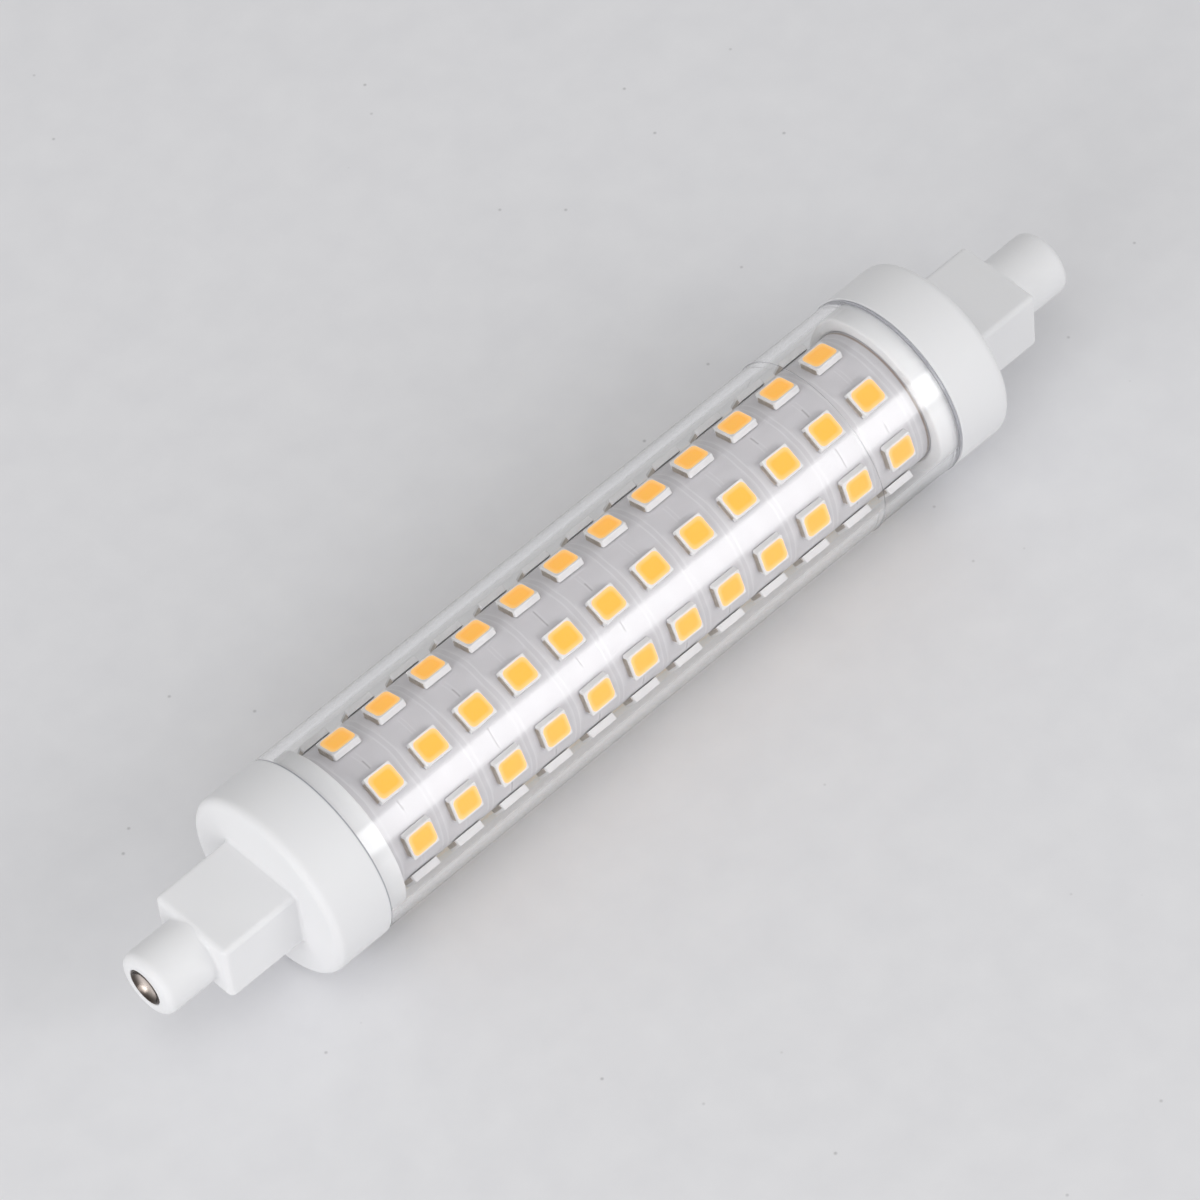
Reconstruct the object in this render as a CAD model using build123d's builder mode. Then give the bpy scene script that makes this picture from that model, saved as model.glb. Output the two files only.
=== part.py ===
from build123d import *
import os

# Double-ended linear LED lamp, in millimetres. It lies along X, centred on the origin, with +Z up.
# Both ends are alike, so each end piece is drawn once, on the right, and turned about Z for the left.

# Overall sizes, from the rim of one contact to the rim of the other
LAMP_LENGTH = 118.0
BODY_DIAMETER = 20.0

# White end cap: cup, rectangular shoulder and round nose, moulded in one piece
NOSE_LENGTH = 6.0
NOSE_DIAMETER = 6.9
NOSE_RIM = 1.5
NOSE_TIP_BEVEL = 0.5
SHOULDER_LENGTH = 9.0
SHOULDER_WIDTH = 9.6
SHOULDER_HEIGHT = 7.1
SHOULDER_CORNER_BEVEL = 0.35
SHOULDER_FRONT_BEVEL = 0.4
CUP_LENGTH = 6.5
CUP_EDGE_BEVEL = 0.5
END_WALL = 2.0
COLLAR_LENGTH = 2.5
COLLAR_WALL = 1.3

# Clear tube, a little lower than the caps
TUBE_WALL = 1.0
TUBE_STEP = 0.1

# Clearances between pieces that fit together
TUBE_FIT = 0.05
BOARD_FIT = 0.05
SEAM_GAP = 0.12
SEAT_CLEARANCE = 0.02
CONTACT_FIT = 0.03
RAIL_FIT = 0.05

# Nickel-plated contact: a dished cup on a solid shank
CONTACT_RIM = 0.22
DISH_DEPTH = 0.95
CUP_FLOOR = 0.65
SHANK_LENGTH = 3.0
SHANK_STEP = 0.15

# LED board: a thin circuit board rolled into a cylinder, with a slit where its long edges meet
BOARD_THICKNESS = 0.35
BOARD_SLIT = 0.4

# Surface-mounted LEDs in rows along the lamp, each a white package with a window in its top
ROW_COUNT = 8
FIRST_ROW_ANGLE = 27.3
ROW_SHIFT = -0.25
LED_PITCH = 5.67
ROW_END_MARGIN = 1.0
LED_LENGTH = 3.5
LED_WIDTH = 2.8
LED_HEIGHT = 0.7
WINDOW_DEPTH = 0.15
LEFT_RIM = 0.36
RIGHT_RIM = 0.24
SIDE_RIM = 0.225

# Leads from the contacts to the driver board
LEAD_DIAMETER = 1.5
LEAD_OVER_BOARD = 3.0

# Driver board, and the rails of the caps that hold its ends
DRIVER_THICKNESS = 1.0
DRIVER_EDGE_GAP = 1.15
DRIVER_END_GAP = 1.5
RAIL_GRIP = 1.4
RAIL_THICKNESS = 1.1

# Components on the driver board, one after another from each end
PART_GAP = 2.5
CAPACITOR_LENGTH = 11.0
CAPACITOR_HEADROOM = 1.6
LEG_REACH = 1.1
CAPACITOR_LEG_SPACING = 2.5
CAPACITOR_LEG_WIDTH = 0.5
RECTIFIER_LENGTH = 4.7
RECTIFIER_LEG_PITCH = 2.54
CHIP_LENGTH = 4.9
CHIP_LEG_PITCH = 1.27
MOULDING_WIDTH = 3.9
MOULDING_HEIGHT = 1.5
MOULDING_DRAFT = 6.0
LEG_WIDTH = 0.45
LEG_THICKNESS = 0.2
FUSE_LENGTH = 6.1
FUSE_WIDTH = 2.6
FUSE_CAP_LENGTH = 1.3
FUSE_CAP_STEP = 0.1
RESISTOR_LENGTH = 2.0
RESISTOR_WIDTH = 1.25
RESISTOR_HEIGHT = 0.5
RESISTOR_COUNT = 4
RESISTOR_PITCH = 2.2
LINK_WIDTH = 0.7
LINK_EDGE_GAP = 2.0

# Stations along the lamp, worked out from its length
TIP_X = LAMP_LENGTH / 2
SHOULDER_FRONT_X = TIP_X - NOSE_LENGTH
CUP_FACE_X = SHOULDER_FRONT_X - SHOULDER_LENGTH
SEAM_X = CUP_FACE_X - CUP_LENGTH
COLLAR_END_X = SEAM_X - COLLAR_LENGTH
CAVITY_END_X = CUP_FACE_X - END_WALL
CONTACT_SEAT_X = TIP_X - DISH_DEPTH - CUP_FLOOR
SHANK_END_X = CONTACT_SEAT_X - SHANK_LENGTH
TUBE_END_X = SEAM_X - SEAM_GAP
BOARD_END_X = SEAM_X - BOARD_FIT
DRIVER_END_X = CAVITY_END_X - DRIVER_END_GAP
LEAD_START_X = DRIVER_END_X - LEAD_OVER_BOARD

# Radii, from the outside in
BODY_RADIUS = BODY_DIAMETER / 2
TUBE_RADIUS = BODY_RADIUS - TUBE_STEP
TUBE_INNER_RADIUS = TUBE_RADIUS - TUBE_WALL
COLLAR_RADIUS = TUBE_INNER_RADIUS - TUBE_FIT
BOARD_SEAT_RADIUS = COLLAR_RADIUS - COLLAR_WALL
BOARD_RADIUS = BOARD_SEAT_RADIUS - BOARD_FIT
BOARD_INNER_RADIUS = BOARD_RADIUS - BOARD_THICKNESS
NOSE_RADIUS = NOSE_DIAMETER / 2
CONTACT_RADIUS = NOSE_RADIUS - NOSE_RIM
DISH_RADIUS = CONTACT_RADIUS - CONTACT_RIM
LEAD_RADIUS = LEAD_DIAMETER / 2
SHANK_RADIUS = LEAD_RADIUS + SHANK_STEP
PASSAGE_RADIUS = SHANK_RADIUS + CONTACT_FIT

# LED rows
ROW_STEP = 360 / ROW_COUNT
ROW_ROOM = 2 * (COLLAR_END_X - ROW_END_MARGIN)
LEDS_PER_ROW = int((ROW_ROOM - LED_LENGTH) // LED_PITCH) + 1
SLIT_ANGLE = FIRST_ROW_ANGLE + (ROW_COUNT // 2 + 0.5) * ROW_STEP
WINDOW_LENGTH = LED_LENGTH - LEFT_RIM - RIGHT_RIM
WINDOW_WIDTH = LED_WIDTH - 2 * SIDE_RIM
WINDOW_SHIFT = (LEFT_RIM - RIGHT_RIM) / 2

# The driver board lies just below the leads, and its components stand on it
DRIVER_WIDTH = 2 * (BOARD_INNER_RADIUS - DRIVER_EDGE_GAP)
DRIVER_TOP_Z = -LEAD_RADIUS - SEAT_CLEARANCE
DRIVER_MIDDLE_Z = DRIVER_TOP_Z - DRIVER_THICKNESS / 2
PART_SEAT_Z = DRIVER_TOP_Z + SEAT_CLEARANCE
CAPACITOR_DIAMETER = BOARD_INNER_RADIUS - CAPACITOR_HEADROOM - PART_SEAT_Z
LINK_SPACING = DRIVER_WIDTH - 2 * LINK_EDGE_GAP
FUSE_X = LEAD_START_X - PART_GAP - FUSE_LENGTH / 2
RECTIFIER_X = FUSE_X - FUSE_LENGTH / 2 - PART_GAP - RECTIFIER_LENGTH / 2
CHIP_X = RECTIFIER_X - RECTIFIER_LENGTH / 2 - PART_GAP - CHIP_LENGTH / 2
LINK_X = -LEAD_START_X + PART_GAP + LINK_WIDTH / 2
RESISTOR_X = LINK_X + LINK_WIDTH / 2 + PART_GAP + RESISTOR_LENGTH / 2
CAPACITOR_X = RESISTOR_X + RESISTOR_LENGTH / 2 + PART_GAP + LEG_REACH

RIGHT_TURN = {"left": 180.0, "right": 0.0}


def finish(part: Part, name: str) -> None:
    """Label a finished piece and write it as its own STEP file."""
    part.label = name
    export_step(part, f"parts/{name}.step")


def finish_pair(part: Part, name: str) -> None:
    """Write a right-hand piece, and its twin turned half round the lamp's middle."""
    for side, turn in RIGHT_TURN.items():
        finish(part.rotate(Axis.Z, turn), f"{side}_{name}")


def row_plane(row: int) -> Plane:
    """Plane at the middle of one row of LEDs, on the lamp's axis, facing out along that row."""
    outward = Vector(0, 0, 1).rotate(Axis.X, FIRST_ROW_ANGLE + row * ROW_STEP)
    return Plane(origin=(ROW_SHIFT, 0, 0), x_dir=(1, 0, 0), z_dir=outward)


def leaded_chip(centre: float, length: float, legs: int, pitch: float) -> Part:
    """Moulded chip on the driver board, with its flat legs reaching out at both sides."""
    with BuildPart() as chip:
        with BuildSketch(Plane.XY.offset(PART_SEAT_Z + LEG_THICKNESS)):
            with Locations((centre, 0)):
                Rectangle(length, MOULDING_WIDTH)
        extrude(amount=MOULDING_HEIGHT - LEG_THICKNESS, taper=MOULDING_DRAFT)
        with BuildSketch(Plane.XY.offset(PART_SEAT_Z)):
            with Locations((centre, 0)):
                with GridLocations(pitch, 0, legs, 1):
                    Rectangle(LEG_WIDTH, MOULDING_WIDTH + 2 * LEG_REACH)
        extrude(amount=LEG_THICKNESS)
    return chip.part


os.makedirs("parts", exist_ok=True)

# Clear tube, which stops just short of each cap and leaves the thin seam line
with BuildPart() as clear_tube:
    with BuildSketch(Plane.YZ.offset(-TUBE_END_X)):
        Circle(TUBE_RADIUS)
        Circle(TUBE_INNER_RADIUS, mode=Mode.SUBTRACT)
    extrude(amount=2 * TUBE_END_X)
finish(clear_tube.part, "clear_tube")

# End cap: collar and cup turned about the axis, then the shoulder and the nose, hollow from inside
with BuildPart() as end_cap:
    with BuildSketch(Plane.XY):
        with BuildLine():
            Polyline(
                (COLLAR_END_X, 0),
                (COLLAR_END_X, COLLAR_RADIUS),
                (SEAM_X, COLLAR_RADIUS),
                (SEAM_X, BODY_RADIUS),
                (CUP_FACE_X, BODY_RADIUS),
                (CUP_FACE_X, 0),
                close=True,
            )
        make_face()
    revolve(axis=Axis.X)
    chamfer(end_cap.faces().sort_by(Axis.X)[-1].edges(), CUP_EDGE_BEVEL)
    with BuildSketch(Plane.YZ.offset(CUP_FACE_X)):
        outline = Rectangle(SHOULDER_WIDTH, SHOULDER_HEIGHT)
        chamfer(outline.vertices(), SHOULDER_CORNER_BEVEL)
    extrude(amount=SHOULDER_LENGTH)
    chamfer(end_cap.faces().sort_by(Axis.X)[-1].edges(), SHOULDER_FRONT_BEVEL)
    with BuildSketch(Plane.XY):
        with BuildLine():
            Polyline(
                (SHOULDER_FRONT_X, 0),
                (SHOULDER_FRONT_X, NOSE_RADIUS),
                (TIP_X - NOSE_TIP_BEVEL, NOSE_RADIUS),
                (TIP_X, NOSE_RADIUS - NOSE_TIP_BEVEL),
                (TIP_X, 0),
                close=True,
            )
        make_face()
    revolve(axis=Axis.X)
    # Board seat and cavity, lead passage and contact seat, bored in one stepped cut
    with BuildSketch(Plane.XY):
        with BuildLine():
            Polyline(
                (COLLAR_END_X, 0),
                (COLLAR_END_X, BOARD_SEAT_RADIUS),
                (CAVITY_END_X, BOARD_SEAT_RADIUS),
                (CAVITY_END_X, PASSAGE_RADIUS),
                (CONTACT_SEAT_X, PASSAGE_RADIUS),
                (CONTACT_SEAT_X, CONTACT_RADIUS + CONTACT_FIT),
                (TIP_X, CONTACT_RADIUS + CONTACT_FIT),
                (TIP_X, 0),
                close=True,
            )
        make_face()
    revolve(axis=Axis.X, mode=Mode.SUBTRACT)
    # Rails at both sides of the cavity: the LED board ends against them, and their slots hold the driver board
    with BuildSketch(Plane.YZ.offset(SEAM_X)):
        with Locations((0, DRIVER_MIDDLE_Z)):
            Rectangle(2 * BOARD_SEAT_RADIUS, DRIVER_THICKNESS + 2 * RAIL_THICKNESS)
            Rectangle(DRIVER_WIDTH - 2 * RAIL_GRIP, DRIVER_THICKNESS + 2 * RAIL_THICKNESS, mode=Mode.SUBTRACT)
            Rectangle(DRIVER_WIDTH + 2 * RAIL_FIT, DRIVER_THICKNESS + 2 * RAIL_FIT, mode=Mode.SUBTRACT)
    extrude(amount=CAVITY_END_X - SEAM_X)
finish_pair(end_cap.part, "end_cap")

# Contact: a dished cup, and the shank that carries it in the lead passage
with BuildPart() as contact:
    with BuildSketch(Plane.XY):
        with BuildLine():
            Polyline(
                (TIP_X, DISH_RADIUS),
                (TIP_X, CONTACT_RADIUS),
                (CONTACT_SEAT_X, CONTACT_RADIUS),
                (CONTACT_SEAT_X, SHANK_RADIUS),
                (SHANK_END_X, SHANK_RADIUS),
                (SHANK_END_X, 0),
                (TIP_X - DISH_DEPTH, 0),
                close=True,
            )
        make_face()
    revolve(axis=Axis.X)
finish_pair(contact.part, "contact")

# Insulated lead along the lamp's axis, from over the driver board to the contact's shank
with BuildPart() as lead:
    with BuildSketch(Plane.YZ.offset(LEAD_START_X)):
        Circle(LEAD_RADIUS)
    extrude(amount=SHANK_END_X - SEAT_CLEARANCE - LEAD_START_X)
finish_pair(lead.part, "lead")

# Rolled LED board, with its slit between two rows on the underside
with BuildPart() as led_board:
    with BuildSketch(Plane.YZ.offset(-BOARD_END_X)):
        Circle(BOARD_RADIUS)
        Circle(BOARD_INNER_RADIUS, mode=Mode.SUBTRACT)
        with PolarLocations(BOARD_RADIUS, 1, start_angle=90 + SLIT_ANGLE):
            Rectangle(BOARD_RADIUS, BOARD_SLIT, mode=Mode.SUBTRACT)
    extrude(amount=2 * BOARD_END_X)
finish(led_board.part, "led_board")

# LED rows: white packages on the board, and the windows set into them
for row in range(ROW_COUNT):
    facing = row_plane(row)
    package_plane = facing.offset(BOARD_RADIUS + SEAT_CLEARANCE)
    window_plane = facing.offset(BOARD_RADIUS + LED_HEIGHT - WINDOW_DEPTH)
    spots = GridLocations(LED_PITCH, 0, LEDS_PER_ROW, 1)

    with BuildPart() as packages:
        with BuildSketch(package_plane):
            with spots:
                Rectangle(LED_LENGTH, LED_WIDTH)
        extrude(amount=LED_HEIGHT - SEAT_CLEARANCE)
        with BuildSketch(window_plane):
            with spots:
                with Locations((WINDOW_SHIFT, 0)):
                    Rectangle(WINDOW_LENGTH, WINDOW_WIDTH)
        extrude(amount=WINDOW_DEPTH, mode=Mode.SUBTRACT)
    finish(packages.part, f"led_packages_{row + 1}")

    with BuildPart() as windows:
        with BuildSketch(window_plane):
            with spots:
                with Locations((WINDOW_SHIFT, 0)):
                    Rectangle(WINDOW_LENGTH, WINDOW_WIDTH)
        extrude(amount=WINDOW_DEPTH)
    finish(windows.part, f"led_windows_{row + 1}")

# Driver board, held by the rails of both caps
with BuildPart() as driver_board:
    with BuildSketch(Plane.XY.offset(DRIVER_TOP_Z)):
        Rectangle(2 * DRIVER_END_X, DRIVER_WIDTH)
    extrude(amount=-DRIVER_THICKNESS)
finish(driver_board.part, "driver_board")

# Bridge rectifier and linear driver chip
finish(leaded_chip(RECTIFIER_X, RECTIFIER_LENGTH, 2, RECTIFIER_LEG_PITCH), "bridge_rectifier")
finish(leaded_chip(CHIP_X, CHIP_LENGTH, 4, CHIP_LEG_PITCH), "driver_chip")

# Smoothing capacitor lying on the driver board, with two bent legs
with BuildPart() as smoothing_capacitor:
    can_axis_z = PART_SEAT_Z + CAPACITOR_DIAMETER / 2
    with BuildSketch(Plane.YZ.offset(CAPACITOR_X)):
        with Locations((0, can_axis_z)):
            Circle(CAPACITOR_DIAMETER / 2)
    extrude(amount=CAPACITOR_LENGTH)
    with BuildSketch(Plane.XZ.offset(-CAPACITOR_LEG_SPACING / 2), Plane.XZ.offset(CAPACITOR_LEG_SPACING / 2)):
        with BuildLine():
            leg = Polyline(
                (CAPACITOR_X, can_axis_z),
                (CAPACITOR_X - LEG_REACH, can_axis_z),
                (CAPACITOR_X - LEG_REACH, PART_SEAT_Z),
            )
        trace(leg, line_width=CAPACITOR_LEG_WIDTH)
    extrude(amount=CAPACITOR_LEG_WIDTH / 2, both=True)
finish(smoothing_capacitor.part, "smoothing_capacitor")

# Fuse: a square body between two larger metal end caps
with BuildPart() as fuse:
    fuse_middle_z = PART_SEAT_Z + FUSE_WIDTH / 2
    with BuildSketch(Plane.YZ.offset(FUSE_X - FUSE_LENGTH / 2)):
        with Locations((0, fuse_middle_z)):
            Rectangle(FUSE_WIDTH, FUSE_WIDTH)
    extrude(amount=FUSE_LENGTH)
    with BuildSketch(Plane.YZ.offset(FUSE_X - FUSE_LENGTH / 2 + FUSE_CAP_LENGTH)):
        with Locations((0, fuse_middle_z)):
            Rectangle(FUSE_WIDTH, FUSE_WIDTH)
            inner_width = FUSE_WIDTH - 2 * FUSE_CAP_STEP
            Rectangle(inner_width, inner_width, mode=Mode.SUBTRACT)
    extrude(amount=FUSE_LENGTH - 2 * FUSE_CAP_LENGTH, mode=Mode.SUBTRACT)
finish(fuse.part, "fuse")

# Row of chip resistors, alike and so in one node
with BuildPart() as chip_resistors:
    with BuildSketch(Plane.XY.offset(PART_SEAT_Z)):
        with Locations((RESISTOR_X, 0)):
            with GridLocations(0, RESISTOR_PITCH, 1, RESISTOR_COUNT):
                Rectangle(RESISTOR_LENGTH, RESISTOR_WIDTH)
    extrude(amount=RESISTOR_HEIGHT)
finish(chip_resistors.part, "chip_resistors")

# Two stiff links that carry the current from the driver board up to the rolled LED board
with BuildPart() as board_links:
    link_edge_y = (LINK_SPACING + LINK_WIDTH) / 2
    link_top_z = (BOARD_INNER_RADIUS**2 - link_edge_y**2) ** 0.5 - SEAT_CLEARANCE
    with BuildSketch(Plane.XY.offset(PART_SEAT_Z)):
        with Locations((LINK_X, 0)):
            with GridLocations(0, LINK_SPACING, 1, 2):
                Rectangle(LINK_WIDTH, LINK_WIDTH)
    extrude(amount=link_top_z - PART_SEAT_Z)
finish(board_links.part, "board_links")
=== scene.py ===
"""Looks of a double-ended linear LED lamp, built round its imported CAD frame.

Lengths are in millimetres until a mesh or a shader is made, where they become metres.
"""

import logging
import math
from collections.abc import Sequence
from dataclasses import dataclass, field
from enum import Enum

import bmesh
import bpy
from mathutils import Matrix, Vector


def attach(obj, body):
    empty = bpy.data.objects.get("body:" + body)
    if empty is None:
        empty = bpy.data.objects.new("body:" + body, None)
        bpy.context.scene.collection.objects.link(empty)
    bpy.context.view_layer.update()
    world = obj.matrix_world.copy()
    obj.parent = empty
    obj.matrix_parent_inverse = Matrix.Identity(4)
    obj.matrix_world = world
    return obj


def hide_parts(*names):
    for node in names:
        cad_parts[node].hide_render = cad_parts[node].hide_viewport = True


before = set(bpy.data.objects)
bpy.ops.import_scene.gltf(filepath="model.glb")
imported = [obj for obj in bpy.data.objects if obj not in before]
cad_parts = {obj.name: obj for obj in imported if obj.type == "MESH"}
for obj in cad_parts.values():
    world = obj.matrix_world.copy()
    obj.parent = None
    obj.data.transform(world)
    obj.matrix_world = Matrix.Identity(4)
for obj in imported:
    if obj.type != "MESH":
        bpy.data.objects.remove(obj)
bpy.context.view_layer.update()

LOG = logging.getLogger("lamp")
MM = 0.001
BODY = "root"

# Angle in degrees above which the edges of most pieces stay sharp
SHARP = 35.0

# Settings and kinds of the nodes that come up most
MATH = "ShaderNodeMath"
NOISE = "ShaderNodeTexNoise"
RANGE = "ShaderNodeMapRange"
BUMP = "ShaderNodeBump"
SPLIT = "ShaderNodeSeparateXYZ"
PRINCIPLED = "ShaderNodeBsdfPrincipled"
ADD = {"operation": "ADD"}
SUBTRACT = {"operation": "SUBTRACT"}
MULTIPLY = {"operation": "MULTIPLY"}
DIVIDE = {"operation": "DIVIDE"}
ABSOLUTE = {"operation": "ABSOLUTE"}
FRACTION = {"operation": "FRACT"}
FLOOR = {"operation": "FLOOR"}
LARGER = {"operation": "MAXIMUM"}
OVER = {"operation": "GREATER_THAN"}
SMOOTH = {"interpolation_type": "SMOOTHSTEP"}

# A Mix node set to colours keeps them in these inputs and this output
MIX = "ShaderNodeMix"
COLOURS = {"data_type": "RGBA"}
FIRST_COLOUR, SECOND_COLOUR, MIXED_COLOUR = 6, 7, 2

# A Random Value node set to numbers keeps its limits in these inputs and its draw in this output
LOWEST, HIGHEST, DRAWN = 2, 3, 1

Point = tuple[float, float, float]
Loop = list[Point]


class End(Enum):
    """The two ends of the lamp, with the half turn that brings a right-hand piece there."""

    LEFT = 180.0
    RIGHT = 0.0

    @property
    def word(self) -> str:
        """The end's name, as it stands in the names of pieces and nodes."""
        return self.name.lower()


def linear(colour: str) -> tuple[float, float, float, float]:
    """Turn an sRGB hex colour into linear light.

    Args:
        colour: Six hex digits after a hash sign.

    Returns:
        Red, green, blue and an alpha of one.
    """
    parts = [int(colour[i : i + 2], 16) / 255 for i in (1, 3, 5)]
    light = [c / 12.92 if c <= 0.04045 else ((c + 0.055) / 1.055) ** 2.4 for c in parts]
    return (light[0], light[1], light[2], 1.0)


def add_node(
    tree: bpy.types.NodeTree,
    kind: str,
    settings: dict[str, object] | None = None,
    inputs: dict[str | int, object] | Sequence[object] = (),
) -> bpy.types.Node:
    """Add a node, set its properties, and fill or link its inputs.

    Args:
        tree: The node tree that gets the node.
        kind: The node's type name.
        settings: Properties of the node itself.
        inputs: Values, or the node or socket to link, by the input's name or number, or in order.

    Returns:
        The new node.
    """
    node = tree.nodes.new(kind)
    for name, value in (settings or {}).items():
        setattr(node, name, value)
    for key, value in inputs.items() if isinstance(inputs, dict) else enumerate(inputs):
        socket = node.inputs[key]
        if isinstance(value, bpy.types.Node):
            tree.links.new(next(s for s in value.outputs if s.enabled), socket)
        elif isinstance(value, bpy.types.NodeSocket):
            tree.links.new(value, socket)
        else:
            socket.default_value = value
    return node


def new_material(name: str) -> tuple[bpy.types.Material, bpy.types.NodeTree, bpy.types.NodeSocket]:
    """Make an empty node material.

    Args:
        name: The material's name.

    Returns:
        The material, its node tree, and the socket that gives the place on the object.
    """
    material = bpy.data.materials.new(name)
    material.use_nodes = True
    tree = material.node_tree
    tree.nodes.clear()
    return material, tree, add_node(tree, "ShaderNodeTexCoord").outputs["Object"]


def finish_material(tree: bpy.types.NodeTree, shader: bpy.types.Node) -> None:
    """Link a shader to a material's output."""
    add_node(tree, "ShaderNodeOutputMaterial", None, {"Surface": shader})


def per_metre(size: float) -> float:
    """How often a pattern of a size in millimetres repeats in a metre."""
    return 1 / (size * MM)


@dataclass(frozen=True)
class MouldedPlastic:
    """Opaque plastic out of a spark-eroded mould: soft sheen, fine grain and faint flow clouds."""

    name: str
    colour: str
    cloud: str
    roughness: float = 0.6
    roughness_spread: float = 0.08
    ior: float = 1.5
    cloud_size: float = 7.0
    cloud_detail: float = 3.0
    grain_size: float = 0.22
    grain_detail: float = 2.0
    grain_height: float = 0.006
    grain_strength: float = 0.6
    seep_depth: float = 0.0
    seep_share: float = 0.15
    seep_colour: Point = (1.0, 0.95, 0.9)

    def build(self) -> bpy.types.Material:
        """Make the material.

        Returns:
            The finished material.
        """
        material, tree, place = new_material(self.name)
        cloud_scale = {"Vector": place, "Scale": per_metre(self.cloud_size), "Detail": self.cloud_detail}
        cloud = add_node(tree, NOISE, None, cloud_scale).outputs["Fac"]
        # The grain is drawn a little coarser than the mould's, so that it still shows at this size
        grain_scale = {"Vector": place, "Scale": per_metre(self.grain_size), "Detail": self.grain_detail}
        grain = add_node(tree, NOISE, None, grain_scale).outputs["Fac"]
        colours = {"Factor": cloud, FIRST_COLOUR: linear(self.colour), SECOND_COLOUR: linear(self.cloud)}
        colour = add_node(tree, MIX, COLOURS, colours).outputs[MIXED_COLOUR]
        low, high = self.roughness - self.roughness_spread, self.roughness + self.roughness_spread
        rough = add_node(tree, RANGE, None, {"Value": grain, "To Min": low, "To Max": high})
        relief = {"Height": grain, "Strength": self.grain_strength, "Distance": self.grain_height * MM}
        values = {
            "Base Color": colour,
            "Roughness": rough,
            "Normal": add_node(tree, BUMP, None, relief),
            "IOR": self.ior,
            "Subsurface Weight": self.seep_share if self.seep_depth else 0.0,
            "Subsurface Radius": self.seep_colour,
            "Subsurface Scale": self.seep_depth * MM,
        }
        finish_material(tree, add_node(tree, PRINCIPLED, None, values))
        return material


@dataclass(frozen=True)
class DrawnGlass:
    """Clear drawn tube: it bends and mirrors light, and lets the lamps' light through to what it covers."""

    name: str
    tint: str
    passed: str
    ior: float = 1.5
    wave_size: float = 6.0
    wave_stretch: float = 8.0
    wave_detail: float = 1.0
    wave_height: float = 0.00012

    def build(self) -> bpy.types.Material:
        """Make the material.

        Returns:
            The finished material.
        """
        material, tree, place = new_material(self.name)
        # Drawing leaves slow waves along the wall, which soften the edges of what it mirrors
        stretched = {"Vector": place, "Scale": (1 / self.wave_stretch, 1.0, 1.0)}
        drawn = add_node(tree, "ShaderNodeMapping", None, stretched)
        wave_scale = {"Vector": drawn, "Scale": per_metre(self.wave_size), "Detail": self.wave_detail}
        wave = add_node(tree, NOISE, None, wave_scale).outputs["Fac"]
        relief = {"Height": wave, "Distance": self.wave_height * MM}
        values = {
            "Base Color": linear(self.tint),
            "Roughness": 0.0,
            "IOR": self.ior,
            "Transmission Weight": 1.0,
            "Normal": add_node(tree, BUMP, None, relief),
        }
        glass = add_node(tree, PRINCIPLED, None, values)
        through = add_node(tree, "ShaderNodeBsdfTransparent", None, {"Color": linear(self.passed)})
        shadow = add_node(tree, "ShaderNodeLightPath").outputs["Is Shadow Ray"]
        finish_material(tree, add_node(tree, "ShaderNodeMixShader", None, (shadow, glass, through)))
        return material


@dataclass(frozen=True)
class ClearFilm:
    """Clear adhesive film pressed on the tube: it shows by a little gloss and by its cut edge."""

    name: str
    clear: str
    edge: str
    gloss: float = 0.012
    gloss_roughness: float = 0.12
    edge_share: float = 0.7
    edge_from: float = 0.3
    edge_to: float = 0.7

    def build(self) -> bpy.types.Material:
        """Make the material.

        Returns:
            The finished material.
        """
        material, tree, _ = new_material(self.name)
        # Only the cut end faces along the lamp, and there the film catches a grey line
        normal = add_node(tree, "ShaderNodeNewGeometry").outputs["Normal"]
        along = add_node(tree, SPLIT, None, (normal,)).outputs["X"]
        limits = {
            "Value": add_node(tree, MATH, ABSOLUTE, (along,)),
            "From Min": self.edge_from,
            "From Max": self.edge_to,
            "To Max": self.edge_share,
        }
        cut = add_node(tree, RANGE, None, limits)
        clear = add_node(tree, "ShaderNodeBsdfTransparent", None, {"Color": linear(self.clear)})
        gloss = add_node(tree, "ShaderNodeBsdfGlossy", None, {"Roughness": self.gloss_roughness})
        edge = add_node(tree, "ShaderNodeBsdfDiffuse", None, {"Color": linear(self.edge)})
        face = add_node(tree, "ShaderNodeMixShader", None, (self.gloss, clear, gloss))
        finish_material(tree, add_node(tree, "ShaderNodeMixShader", None, (cut, face, edge)))
        return material


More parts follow.
